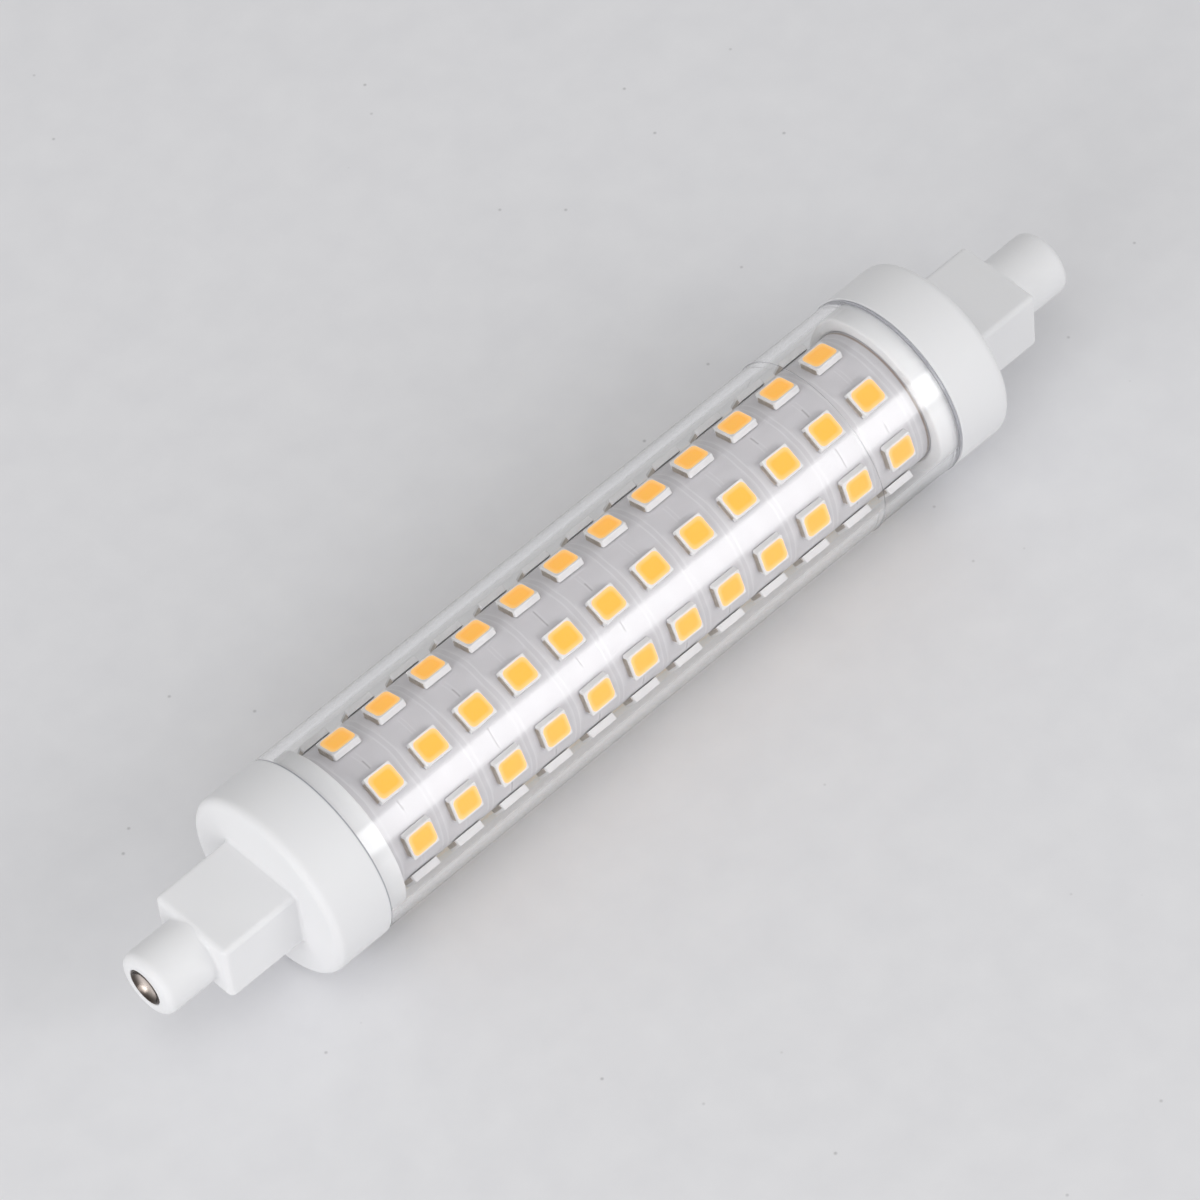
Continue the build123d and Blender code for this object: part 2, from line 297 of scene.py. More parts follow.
@dataclass(frozen=True)
class PlatedMetal:
    """Metal that was turned or stamped and then plated: fine rings round its axis, and dulled patches."""

    name: str
    colour: str
    tarnish: str
    roughness: float
    polished: float = 0.6
    dulled: float = 1.5
    ring_size: float = 0.05
    ring_detail: float = 1.0
    ring_height: float = 0.0008
    patch_size: float = 0.9
    patch_detail: float = 4.0
    # Colour of a painted shade in the corner of a dish; none if empty
    corner: str = ""
    dish_shade_from: float = 1.1
    dish_shade_to: float = 1.65
    dish_shade_share: float = 0.9

    def build(self) -> bpy.types.Material:
        """Make the material.

        Returns:
            The finished material.
        """
        material, tree, place = new_material(self.name)
        xyz = add_node(tree, SPLIT, None, (place,)).outputs
        flat = add_node(tree, "ShaderNodeCombineXYZ", None, {"Y": xyz["Y"], "Z": xyz["Z"]})
        radius = add_node(tree, "ShaderNodeVectorMath", {"operation": "LENGTH"}, (flat,)).outputs["Value"]
        ring_scale = {"W": radius, "Scale": per_metre(self.ring_size), "Detail": self.ring_detail}
        turns = add_node(tree, NOISE, {"noise_dimensions": "1D"}, ring_scale).outputs["Fac"]
        patch_scale = {"Vector": place, "Scale": per_metre(self.patch_size), "Detail": self.patch_detail}
        patch = add_node(tree, NOISE, None, patch_scale).outputs["Fac"]
        colours = {"Factor": patch, FIRST_COLOUR: linear(self.colour), SECOND_COLOUR: linear(self.tarnish)}
        face = add_node(tree, MIX, COLOURS, colours).outputs[MIXED_COLOUR]
        if self.corner:
            # Painted shade: the metal is painted dark in the corner of the dish, where shade falls in the
            # hollow
            limits = {
                "Value": radius,
                "From Min": self.dish_shade_from * MM,
                "From Max": self.dish_shade_to * MM,
                "To Max": self.dish_shade_share,
            }
            corner = add_node(tree, RANGE, SMOOTH, limits)
            colours = {"Factor": corner, FIRST_COLOUR: face, SECOND_COLOUR: linear(self.corner)}
            face = add_node(tree, MIX, COLOURS, colours).outputs[MIXED_COLOUR]
        low, high = self.roughness * self.polished, self.roughness * self.dulled
        relief = {"Height": turns, "Distance": self.ring_height * MM}
        values = {
            "Base Color": face,
            "Metallic": 1.0,
            "Roughness": add_node(tree, RANGE, None, {"Value": patch, "To Min": low, "To Max": high}),
            "Normal": add_node(tree, BUMP, None, relief),
        }
        finish_material(tree, add_node(tree, PRINCIPLED, None, values))
        return material


@dataclass(frozen=True)
class PhosphorFill:
    """Silicone with amber phosphor, cast level with its package: warm and cloudy, paler towards its rim."""

    name: str
    heart: str
    rim: str
    cloud: str
    glow: str
    painted_glow_strength: float = 0.34
    rim_share: float = 0.8
    cloud_share: float = 0.35
    cloud_size: float = 0.6
    cloud_detail: float = 3.0
    cloud_height: float = 0.004
    roughness: float = 0.38
    ior: float = 1.42

    def build(self) -> bpy.types.Material:
        """Make the material.

        Returns:
            The finished material.
        """
        material, tree, place = new_material(self.name)
        cloud_scale = {"Vector": place, "Scale": per_metre(self.cloud_size), "Detail": self.cloud_detail}
        cloud = add_node(tree, NOISE, None, cloud_scale).outputs["Fac"]
        faint = add_node(tree, MATH, MULTIPLY, (cloud, self.cloud_share))
        colours = {"Factor": faint, FIRST_COLOUR: linear(self.heart), SECOND_COLOUR: linear(self.cloud)}
        heart = add_node(tree, MIX, COLOURS, colours).outputs[MIXED_COLOUR]
        rim = add_node(tree, "ShaderNodeAttribute", {"attribute_name": LedRows.RIM_ATTRIBUTE}).outputs["Fac"]
        edged = add_node(tree, MATH, MULTIPLY, (rim, self.rim_share))
        colours = {"Factor": edged, FIRST_COLOUR: heart, SECOND_COLOUR: linear(self.rim)}
        relief = {"Height": cloud, "Distance": self.cloud_height * MM}
        # Painted glow: a steady emission stands in for the phosphor turning the blue part of the studio's
        # light into yellow, so it shines more than it mirrors
        values = {
            "Base Color": add_node(tree, MIX, COLOURS, colours).outputs[MIXED_COLOUR],
            "Roughness": self.roughness,
            "IOR": self.ior,
            "Normal": add_node(tree, BUMP, None, relief),
            "Emission Color": linear(self.glow),
            "Emission Strength": self.painted_glow_strength,
        }
        finish_material(tree, add_node(tree, PRINCIPLED, None, values))
        return material


@dataclass(frozen=True)
class TraceBoard:
    """Pale solder mask over copper: the gaps between the copper areas show as fine raised lines in the
    lacquer, painted lighter as a painted highlight.
    """

    name: str
    mask: str
    line: str
    tick: str
    cut_edge: str
    pitch: float
    shift: float
    row_step: float
    first_row: float
    skew: float
    radius: float
    drift_size: float = 4.0
    drift: float = 0.5
    gap_width: float = 0.62
    line_width: float = 0.13
    line_core: float = 0.35
    line_highlight_share: float = 0.55
    inner_gap: float = 0.42
    inner_width: float = 0.104
    inner_share: float = 0.6
    pad_length: float = 2.35
    pad_width: float = 1.85
    pad_fade: float = 0.1
    pad_line_width: float = 0.091
    pad_share: float = 0.5
    tick_width: float = 0.1
    tick_over: float = 0.66
    tick_share: float = 0.55
    bare_edge: float = 34.9
    bare_width: float = 0.16
    bare_share: float = 0.75
    end_over: float = 0.7
    cloud_size: float = 2.5
    cloud_detail: float = 4.0
    line_relief: float = 0.6
    relief_strength: float = 0.7
    relief_height: float = 0.012
    smoothest: float = 0.28
    dullest: float = 0.42

    # Eight rows keep the row's number above nothing, and the half sets each row in its cell's middle
    ROW_OFFSET = 8.5

    def build(self) -> bpy.types.Material:
        """Make the material.

        Returns:
            The finished material.
        """
        material, tree, place = new_material(self.name)
        drift_scale = {"Vector": place, "Scale": per_metre(self.drift_size), "Detail": 1.0}
        drift = add_node(tree, NOISE, None, drift_scale).outputs["Fac"]
        xyz = add_node(tree, SPLIT, None, (place,)).outputs
        x = add_node(tree, MATH, DIVIDE, (xyz["X"], MM))

        # Distance along the lamp from the middle of the nearest LED, with the slight wander of etched foil
        wander = add_node(tree, MATH, MULTIPLY, (add_node(tree, MATH, SUBTRACT, (drift, 0.5)), self.drift))
        straight = add_node(tree, MATH, SUBTRACT, (x, self.shift))
        along = add_node(tree, MATH, ADD, (straight, wander))
        column = add_node(tree, MATH, DIVIDE, (along, self.pitch))
        in_column = add_node(tree, MATH, SUBTRACT, (add_node(tree, MATH, FRACTION, (column,)), 0.5))
        past_led = add_node(tree, MATH, MULTIPLY, (in_column, self.pitch))
        from_led = add_node(tree, MATH, ABSOLUTE, (past_led,))

        # Distance round the lamp from the nearest row, which winds slowly round the board
        across = add_node(tree, MATH, MULTIPLY, (xyz["Y"], -1.0))
        angle = add_node(tree, MATH, {"operation": "ARCTAN2"}, (across, xyz["Z"]))
        wound = add_node(tree, MATH, MULTIPLY, (straight, math.radians(self.skew)))
        from_first = add_node(tree, MATH, SUBTRACT, (angle, math.radians(self.first_row)))
        turned = add_node(tree, MATH, SUBTRACT, (from_first, wound))
        step = math.radians(self.row_step)
        row = add_node(tree, MATH, ADD, (add_node(tree, MATH, DIVIDE, (turned, step)), self.ROW_OFFSET))
        in_row = add_node(tree, MATH, SUBTRACT, (add_node(tree, MATH, FRACTION, (row,)), 0.5))
        past_row = add_node(tree, MATH, MULTIPLY, (in_row, step * self.radius))
        from_row = add_node(tree, MATH, ABSOLUTE, (past_row,))

        # Each fine line is one at its middle and nothing past its width
        lines = {
            "ring": (from_led, (self.pitch - self.gap_width) / 2, self.line_width),
            "middle": (from_led, self.inner_gap / 2, self.inner_width),
            "pad": (from_led, self.pad_length, self.pad_line_width),
            "tick": (from_led, 0.0, self.tick_width),
            "bare": (x, self.bare_edge, self.bare_width),
        }
        drawn = {}
        for name, (distance, middle, width) in lines.items():
            off = add_node(tree, MATH, ABSOLUTE, (add_node(tree, MATH, SUBTRACT, (distance, middle)),))
            limits = {"Value": off, "From Min": width * self.line_core, "From Max": width}
            drawn[name] = add_node(tree, RANGE, SMOOTH, {**limits, "To Min": 1.0, "To Max": 0.0})
        edge = {"Value": from_row, "From Min": self.pad_width, "From Max": self.pad_width + self.pad_fade}
        beside_row = add_node(tree, RANGE, None, edge)
        on_row = add_node(tree, RANGE, None, {**edge, "To Min": 1.0, "To Max": 0.0})
        middles = add_node(tree, MATH, MULTIPLY, (drawn["middle"], beside_row))
        faint_middles = add_node(tree, MATH, MULTIPLY, (middles, self.inner_share))
        pads = add_node(tree, MATH, MULTIPLY, (drawn["pad"], on_row))
        faint_pads = add_node(tree, MATH, MULTIPLY, (pads, self.pad_share))
        gaps = add_node(tree, MATH, LARGER, (drawn["ring"], faint_middles))
        traced = add_node(tree, MATH, LARGER, (gaps, faint_pads))

        # Some of the middle gaps hold a burr of flux, dark beside the lacquer
        cell = {"X": add_node(tree, MATH, FLOOR, (column,)), "Y": add_node(tree, MATH, FLOOR, (row,))}
        cell_place = {"Vector": add_node(tree, "ShaderNodeCombineXYZ", None, cell)}
        luck = add_node(tree, "ShaderNodeTexWhiteNoise", {"noise_dimensions": "2D"}, cell_place)
        chosen = add_node(tree, MATH, OVER, (luck.outputs["Value"], self.tick_over))
        ticks = add_node(tree, MATH, MULTIPLY, (drawn["tick"], beside_row))
        burr = add_node(tree, MATH, MULTIPLY, (ticks, chosen))

        # Beside the right collar a hair of brown laminate is left bare, as it is on the board's cut ends
        normal = add_node(tree, "ShaderNodeNewGeometry").outputs["Normal"]
        facing = add_node(tree, SPLIT, None, (normal,)).outputs["X"]
        end_face = add_node(tree, MATH, OVER, (add_node(tree, MATH, ABSOLUTE, (facing,)), self.end_over))
        hair = add_node(tree, MATH, MULTIPLY, (drawn["bare"], self.bare_share))
        bare = add_node(tree, MATH, LARGER, (end_face, hair))

        # The fine lines are painted lighter than the mask, a painted highlight on the lacquer's edges over
        # the foil's gaps
        layers = (
            (add_node(tree, MATH, MULTIPLY, (traced, self.line_highlight_share)), self.line),
            (add_node(tree, MATH, MULTIPLY, (burr, self.tick_share)), self.tick),
            (bare, self.cut_edge),
        )
        colour = linear(self.mask)
        for share, over in layers:
            mixed = {"Factor": share, FIRST_COLOUR: colour, SECOND_COLOUR: linear(over)}
            colour = add_node(tree, MIX, COLOURS, mixed).outputs[MIXED_COLOUR]

        cloud_scale = {"Vector": place, "Scale": per_metre(self.cloud_size), "Detail": self.cloud_detail}
        cloud = add_node(tree, NOISE, None, cloud_scale).outputs["Fac"]
        raised = add_node(tree, MATH, MULTIPLY, (traced, self.line_relief))
        height = add_node(tree, MATH, ADD, (raised, cloud))
        relief = {"Height": height, "Strength": self.relief_strength, "Distance": self.relief_height * MM}
        dulled = {"Value": cloud, "To Min": self.smoothest, "To Max": self.dullest}
        values = {
            "Base Color": colour,
            "Roughness": add_node(tree, RANGE, None, dulled),
            "Normal": add_node(tree, BUMP, None, relief),
        }
        finish_material(tree, add_node(tree, PRINCIPLED, None, values))
        return material


@dataclass(frozen=True)
class PaintedTable:
    """Pale painted table: near matt, faintly mottled, with a few specks of dust."""

    name: str
    colour: str
    mottle: str
    speck: str
    roughness: float = 0.62
    mottle_size: float = 5.0
    mottle_detail: float = 6.0
    mottle_height: float = 0.05
    mottle_strength: float = 0.3
    speck_spacing: float = 2.2
    speck_over: float = 0.94
    speck_core: float = 0.03
    speck_reach: float = 0.11
    speck_share: float = 0.6

    def build(self) -> bpy.types.Material:
        """Make the material.

        Returns:
            The finished material.
        """
        material, tree, place = new_material(self.name)
        mottle_scale = {"Vector": place, "Scale": per_metre(self.mottle_size), "Detail": self.mottle_detail}
        mottle = add_node(tree, NOISE, None, mottle_scale).outputs["Fac"]
        # Few of the cells hold a speck; the dust is drawn a little coarse, so that it shows at all
        speck_scale = {"Vector": place, "Scale": per_metre(self.speck_spacing), "Randomness": 1.0}
        cells = add_node(tree, "ShaderNodeTexVoronoi", None, speck_scale).outputs
        luck = add_node(tree, "ShaderNodeSeparateColor", None, (cells["Color"],)).outputs[0]
        rare = add_node(tree, MATH, OVER, (luck, self.speck_over))
        limits = {
            "Value": cells["Distance"],
            "From Min": self.speck_core,
            "From Max": self.speck_reach,
            "To Min": self.speck_share,
            "To Max": 0.0,
        }
        specks = add_node(tree, MATH, MULTIPLY, (rare, add_node(tree, RANGE, None, limits)))
        colour = linear(self.colour)
        for share, over in ((mottle, self.mottle), (specks, self.speck)):
            mixed = {"Factor": share, FIRST_COLOUR: colour, SECOND_COLOUR: linear(over)}
            colour = add_node(tree, MIX, COLOURS, mixed).outputs[MIXED_COLOUR]
        relief = {"Height": mottle, "Strength": self.mottle_strength, "Distance": self.mottle_height * MM}
        bump = add_node(tree, BUMP, None, relief)
        values = {"Base Color": colour, "Roughness": self.roughness, "Normal": bump}
        finish_material(tree, add_node(tree, PRINCIPLED, None, values))
        return material


def store_mesh(name: str, mesh: bmesh.types.BMesh) -> bpy.types.Mesh:
    """Turn a built mesh's faces outwards, and store and free it.

    Args:
        name: The mesh's name.
        mesh: The built mesh, in metres.

    Returns:
        The mesh data.
    """
    bmesh.ops.recalc_face_normals(mesh, faces=mesh.faces)
    data = bpy.data.meshes.new(name)
    mesh.to_mesh(data)
    mesh.free()
    return data


def skin(name: str, loops: Sequence[Loop], closed: bool) -> bpy.types.Mesh:
    """Skin a run of loops that all have as many points.

    Args:
        name: The mesh's name.
        loops: Closed loops of points in millimetres, one after another over the surface.
        closed: Whether the last loop joins the first; otherwise both end loops are filled.

    Returns:
        The mesh data, in metres.
    """
    mesh = bmesh.new()
    rings = [[mesh.verts.new(Vector(p) * MM) for p in loop] for loop in loops]
    for first, second in zip(rings, rings[1:] + rings[:1] if closed else rings[1:]):
        for i in range(len(first)):
            j = (i + 1) % len(first)
            mesh.faces.new((first[i], first[j], second[j], second[i]))
    if not closed:
        for ring in (rings[0], rings[-1]):
            mesh.faces.new(ring)
    return store_mesh(name, mesh)


def add_piece(
    name: str, data: bpy.types.Mesh, material: bpy.types.Material, sharp: float = SHARP
) -> bpy.types.Object:
    """Put mesh data in a finished object that rides on the lamp.

    Args:
        name: The piece's name.
        data: The mesh data.
        material: The piece's material.
        sharp: The angle in degrees above which an edge stays sharp.

    Returns:
        The new object.
    """
    for polygon in data.polygons:
        polygon.use_smooth = True
    data.set_sharp_from_angle(angle=math.radians(sharp))
    if not data.materials:
        data.materials.append(material)
    piece = bpy.data.objects.new(name, data)
    bpy.context.scene.collection.objects.link(piece)
    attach(piece, BODY)
    LOG.info("%s: %d faces", name, len(data.polygons))
    return piece


def circle_loop(x: float, radius: float, angles: Sequence[float]) -> Loop:
    """Points of a circle round the lamp's axis.

    Args:
        x: Where it stands along the lamp.
        radius: The circle's radius.
        angles: The polar angle of each point, in radians.

    Returns:
        The loop's points.
    """
    return [(x, radius * math.cos(a), radius * math.sin(a)) for a in angles]


def even_angles(count: int) -> list[float]:
    """Polar angles spread evenly round a circle."""
    return [2 * math.pi * i / count for i in range(count)]


def arc_steps(count: int) -> list[float]:
    """Angles of a quarter turn, both ends included, in radians."""
    return [math.pi / 2 * i / count for i in range(count + 1)]


class Way(Enum):
    """The ways in which a turned outline runs: along the lamp, and away from its axis or towards it."""

    RIGHT = (1.0, 0.0)
    LEFT = (-1.0, 0.0)
    OUT = (0.0, 1.0)
    IN = (0.0, -1.0)


def rounded_edge(
    corner: tuple[float, float], edge: float, enter: Way, leave: Way, steps: int, angles: Sequence[float]
) -> list[Loop]:
    """Loops over a rounded edge of a turned outline.

    Args:
        corner: Place along the lamp and radius of the sharp corner that is rounded.
        edge: The edge's own radius.
        enter: The way in which the outline runs to the corner.
        leave: The way in which it runs on.
        steps: Segments over the edge.
        angles: The polar angle of each loop's points, in radians.

    Returns:
        The loops, both ends included.
    """
    loops = []
    for turn in arc_steps(steps):
        before, after = 1 - math.sin(turn), 1 - math.cos(turn)
        ways = zip(corner, enter.value, leave.value)
        x, radius = (middle + edge * (gone * after - come * before) for middle, come, gone in ways)
        loops.append(circle_loop(x, radius, angles))
    return loops


def half_turn(loops: Sequence[Loop], end: End) -> list[Loop]:
    """Bring right-hand loops to either end of the lamp.

    Args:
        loops: Loops at the right-hand end.
        end: The end that they are for.

    Returns:
        The loops at that end.
    """
    turn = Matrix.Rotation(math.radians(end.value), 3, "Z")
    return [[tuple(turn @ Vector(p)) for p in loop] for loop in loops]


@dataclass
class EndCap:
    """White end cap, moulded in one: collar, cup, rectangular shoulder and round nose."""

    tip: float = 59.0
    nose_length: float = 6.0
    nose_radius: float = 3.45
    nose_tip_radius: float = 0.9
    nose_root_radius: float = 0.28
    nose_root_share: float = 0.8
    shoulder_length: float = 9.0
    shoulder_half_width: float = 4.8
    shoulder_half_height: float = 3.55
    shoulder_corner: float = 0.55
    shoulder_front_radius: float = 0.6
    shoulder_root_radius: float = 0.35
    front_shares: tuple[float, ...] = (0.0, 0.03, 0.08, 0.15, 0.24, 0.35, 0.5, 0.7, 1.0)
    cup_length: float = 6.5
    cup_radius: float = 10.0
    cup_edge_radius: float = 0.85
    seam_edge_radius: float = 0.07
    collar_length: float = 2.5
    collar_radius: float = 8.85
    collar_edge_radius: float = 0.2
    bore_radius: float = 7.55
    bore_end: float = 42.0
    passage_radius: float = 0.93
    contact_seat: float = 57.4
    contact_seat_radius: float = 1.98
    seat_lip: float = 0.12
    rail_grip: float = 1.4
    rail_thickness: float = 1.1
    rail_setback: float = 0.02
    board_half_width: float = 6.0
    board_middle: float = -1.27
    board_thickness: float = 1.0
    rail_fit: float = 0.05
    points: int = 120
    small_steps: int = 3
    foot_steps: int = 4
    root_steps: int = 5
    cup_steps: int = 6
    tip_steps: int = 7
    corner_step: float = 0.9
    corner_points: int = 7
    edge_hold: float = 1.3
    seam_hold: float = 3.0
    foot_hold: float = 2.0

    @property
    def cup_face(self) -> float:
        """Where the cup's outer face lies along the lamp."""
        return self.tip - self.nose_length - self.shoulder_length

    @property
    def seam(self) -> float:
        """Where the cup meets the tube."""
        return self.cup_face - self.cup_length

    def section_radius(self, angle: float, grow: float = 0.0) -> float:
        """How far the shoulder's outline lies from the axis.

        Args:
            angle: The polar angle.
            grow: How far the outline is moved outwards.

        Returns:
            The distance from the axis.
        """
        half_y = self.shoulder_half_width + grow
        half_z = self.shoulder_half_height + grow
        corner = self.shoulder_corner + grow
        c, s = abs(math.cos(angle)), abs(math.sin(angle))
        if c > 0 and half_y / c * s <= half_z - corner:
            return half_y / c
        if s > 0 and half_z / s * c <= half_y - corner:
            return half_z / s
        middle_y, middle_z = half_y - corner, half_z - corner
        along = c * middle_y + s * middle_z
        return along + math.sqrt(along**2 - (middle_y**2 + middle_z**2 - corner**2))

    def front_height(self, y: float, z: float) -> float:
        """Where the shoulder's front surface lies, rounded edge included.

        Args:
            y: Place across the lamp.
            z: Place above the axis.

        Returns:
            The place along the lamp.
        """
        radius = self.shoulder_front_radius
        past_y = abs(y) - (self.shoulder_half_width - self.shoulder_corner)
        past_z = abs(z) - (self.shoulder_half_height - self.shoulder_corner)
        outside = math.hypot(max(past_y, 0), max(past_z, 0))
        inside = self.shoulder_corner - outside - min(max(past_y, past_z), 0)
        drop = max(radius - max(inside, 0.0), 0.0)
        front = self.tip - self.nose_length
        return front - radius + math.sqrt(max(radius**2 - drop**2, 0.0))

    def angles(self) -> list[float]:
        """Polar angles of each loop's points, closer together where the shoulder has its corners.

        Returns:
            The angles in radians, smallest first.
        """
        digits = 5
        found = set(round(a, digits) for a in even_angles(self.points))
        corner = math.atan2(
            self.shoulder_half_height - self.shoulder_corner / 2,
            self.shoulder_half_width - self.shoulder_corner / 2,
        )
        steps = range(-self.corner_points, self.corner_points + 1)
        for middle in (corner, math.pi - corner, math.pi + corner, 2 * math.pi - corner):
            found |= {round(middle + math.radians(step * self.corner_step), digits) for step in steps}
        return sorted(found)

    def root_reach(self, angle: float) -> float:
        """Radius of the fillet at the nose's foot, smaller where the shoulder leaves it little room."""
        room = self.section_radius(angle) - self.nose_radius
        return min(self.nose_root_radius, self.nose_root_share * room)

    def root_loops(self, angles: Sequence[float]) -> list[Loop]:
        """Loops over the fillet from the cup's face to the shoulder's sides.

        Args:
            angles: The polar angle of each loop's points, in radians.

        Returns:
            The loops.
        """
        loops = []
        for turn in arc_steps(self.root_steps):
            x = self.cup_face + self.shoulder_root_radius * (1 - math.cos(turn))
            grow = self.shoulder_root_radius * (1 - math.sin(turn))
            outline = [(a, self.section_radius(a, grow)) for a in angles]
            loops.append([(x, radius * math.cos(a), radius * math.sin(a)) for a, radius in outline])
        return loops

    def front_loops(self, angles: Sequence[float]) -> list[Loop]:
        """Loops over the shoulder's front, from its outline in to the nose's foot and up its fillet.

        Args:
            angles: The polar angle of each loop's points, in radians.

        Returns:
            The loops.
        """
        loops = []
        for share in self.front_shares:
            loop = []
            for a in angles:
                outer = self.section_radius(a)
                foot = self.nose_radius + self.root_reach(a)
                r = outer + (foot - outer) * share
                y, z = r * math.cos(a), r * math.sin(a)
                loop.append((self.front_height(y, z), y, z))
            loops.append(loop)
        for turn in arc_steps(self.foot_steps)[1:]:
            loop = []
            for a in angles:
                reach = self.root_reach(a)
                r = self.nose_radius + reach * (1 - math.sin(turn))
                y, z = r * math.cos(a), r * math.sin(a)
                loop.append((self.front_height(y, z) + reach * (1 - math.cos(turn)), y, z))
            loops.append(loop)
        return loops

    def loops(self) -> list[Loop]:
        """All loops of the cap, from the collar's mouth over the outside and back through the bore.

        Returns:
            The loops, at the right-hand end.
        """
        angles = self.angles()
        collar_end = self.seam - self.collar_length
        foot = self.tip - self.nose_length + self.foot_hold * self.nose_root_radius
        collar_edge, seam_edge = self.collar_edge_radius, self.seam_edge_radius
        cup_edge, tip_edge = self.cup_edge_radius, self.nose_tip_radius

        def ring(x: float, radius: float) -> Loop:
            """A circle of the cap's own points."""
            return circle_loop(x, radius, angles)

        def edge(x: float, radius: float, size: float, enter: Way, leave: Way, steps: int) -> list[Loop]:
            """A rounded edge of the cap's own points."""
            return rounded_edge((x, radius), size, enter, leave, steps, angles)

        # Rings beside each rounded edge keep its shading from spreading over the straight walls
        return [
            ring(collar_end, self.bore_radius + collar_edge),
            *edge(collar_end, self.collar_radius, collar_edge, Way.OUT, Way.RIGHT, self.small_steps),
            ring(self.seam, self.collar_radius),
            *edge(self.seam, self.cup_radius, seam_edge, Way.OUT, Way.RIGHT, self.small_steps),
            ring(self.seam + self.seam_hold * seam_edge, self.cup_radius),
            ring(self.cup_face - self.edge_hold * cup_edge, self.cup_radius),
            *edge(self.cup_face, self.cup_radius, cup_edge, Way.RIGHT, Way.IN, self.cup_steps),
            *self.root_loops(angles),
            *self.front_loops(angles),
            ring(foot, self.nose_radius),
            ring(self.tip - self.edge_hold * tip_edge, self.nose_radius),
            *edge(self.tip, self.nose_radius, tip_edge, Way.RIGHT, Way.IN, self.tip_steps),
            *edge(self.tip, self.contact_seat_radius, self.seat_lip, Way.IN, Way.LEFT, self.small_steps),
            ring(self.contact_seat, self.contact_seat_radius),
            ring(self.contact_seat, self.passage_radius),
            ring(self.bore_end, self.passage_radius),
            ring(self.bore_end, self.bore_radius),
            ring(collar_end + collar_edge, self.bore_radius),
        ]

    def add_rails(self, piece: bpy.types.Object, end: End) -> None:
        """Add the two slotted rails that hold the driver board's end.

        Args:
            piece: The cap's object.
            end: The end of the lamp that it is at.
        """
        half_board = self.board_thickness / 2
        low = self.board_middle - half_board - self.rail_thickness
        high = self.board_middle + half_board + self.rail_thickness
        slot_low = self.board_middle - half_board - self.rail_fit
        slot_high = self.board_middle + half_board + self.rail_fit
        inner = self.board_half_width - self.rail_grip
        slot_end = self.board_half_width + self.rail_fit
        outer = self.bore_radius + self.rail_fit
        profile = (
            (inner, low),
            (outer, low),
            (outer, high),
            (inner, high),
            (inner, slot_high),
            (slot_end, slot_high),
            (slot_end, slot_low),
            (inner, slot_low),
        )
        mesh = bmesh.new()
        mesh.from_mesh(piece.data)
        turn = Matrix.Rotation(math.radians(end.value), 3, "Z")
        for side in (-1, 1):
            near, far = (
                [mesh.verts.new(turn @ Vector((x, side * y, z)) * MM) for y, z in profile]
                for x in (self.seam + self.rail_setback, self.bore_end)
            )
            made = [mesh.faces.new(near), mesh.faces.new(far[::-1])]
            for i in range(len(profile)):
                j = (i + 1) % len(profile)
                made.append(mesh.faces.new((near[i], far[i], far[j], near[j])))
            bmesh.ops.recalc_face_normals(mesh, faces=made)
        mesh.to_mesh(piece.data)
        mesh.free()
        piece.data.set_sharp_from_angle(angle=math.radians(SHARP))

    def build(self, end: End, material: bpy.types.Material) -> bpy.types.Object:
        """Build and dress one cap.

        Args:
            end: The end of the lamp that it is for.
            material: The moulded plastic.

        Returns:
            The cap's object.
        """
        name = f"{end.word}_cap"
        data = skin(name, half_turn(self.loops(), end), closed=True)
        piece = add_piece(name, data, material)
        self.add_rails(piece, end)
        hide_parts(f"{end.word}_end_cap")
        return piece


@dataclass
class Contact:
    """Nickel-plated contact: a dished cup with a rolled rim, on its shank."""

    tip: float = 59.0
    radius: float = 1.95
    rim: float = 0.22
    dish_depth: float = 0.95
    seat: float = 57.4
    shank_radius: float = 0.9
    shank_end: float = 54.4
    points: int = 96
    dish_steps: int = 12
    rim_steps: int = 6
    sharp: float = 40.0

    def loops(self) -> list[Loop]:
        """Loops from the bottom of the dish over the rim and down the shank.

        Returns:
            The loops, at the right-hand end.
        """
        angles = even_angles(self.points)
        dish_radius = self.radius - self.rim
        sphere = (dish_radius**2 + self.dish_depth**2) / (2 * self.dish_depth)
        widest = math.asin(dish_radius / sphere)
        bottom = self.tip - self.dish_depth
        bead = self.rim / 2
        outline = []
        for step in range(1, self.dish_steps + 1):
            turn = widest * step / self.dish_steps
            outline.append((bottom + sphere * (1 - math.cos(turn)), sphere * math.sin(turn)))
        for step in range(1, self.rim_steps + 1):
            turn = math.pi * step / self.rim_steps
            radius = self.radius - bead * (1 + math.cos(turn))
            outline.append((self.tip - bead * (1 - math.sin(turn)), radius))
        outline += [(self.seat, self.radius), (self.seat, self.shank_radius)]
        outline.append((self.shank_end, self.shank_radius))
        return [circle_loop(x, radius, angles) for x, radius in outline]

    def build(self, end: End, material: bpy.types.Material) -> bpy.types.Object:
        """Build and dress one contact.

        Args:
            end: The end of the lamp that it is for.
            material: The plated metal.

        Returns:
            The contact's object.
        """
        name = f"{end.word}_contact_cup"
        data = skin(name, half_turn(self.loops(), end), closed=False)
        piece = add_piece(name, data, material, self.sharp)
        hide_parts(f"{end.word}_contact")
        return piece


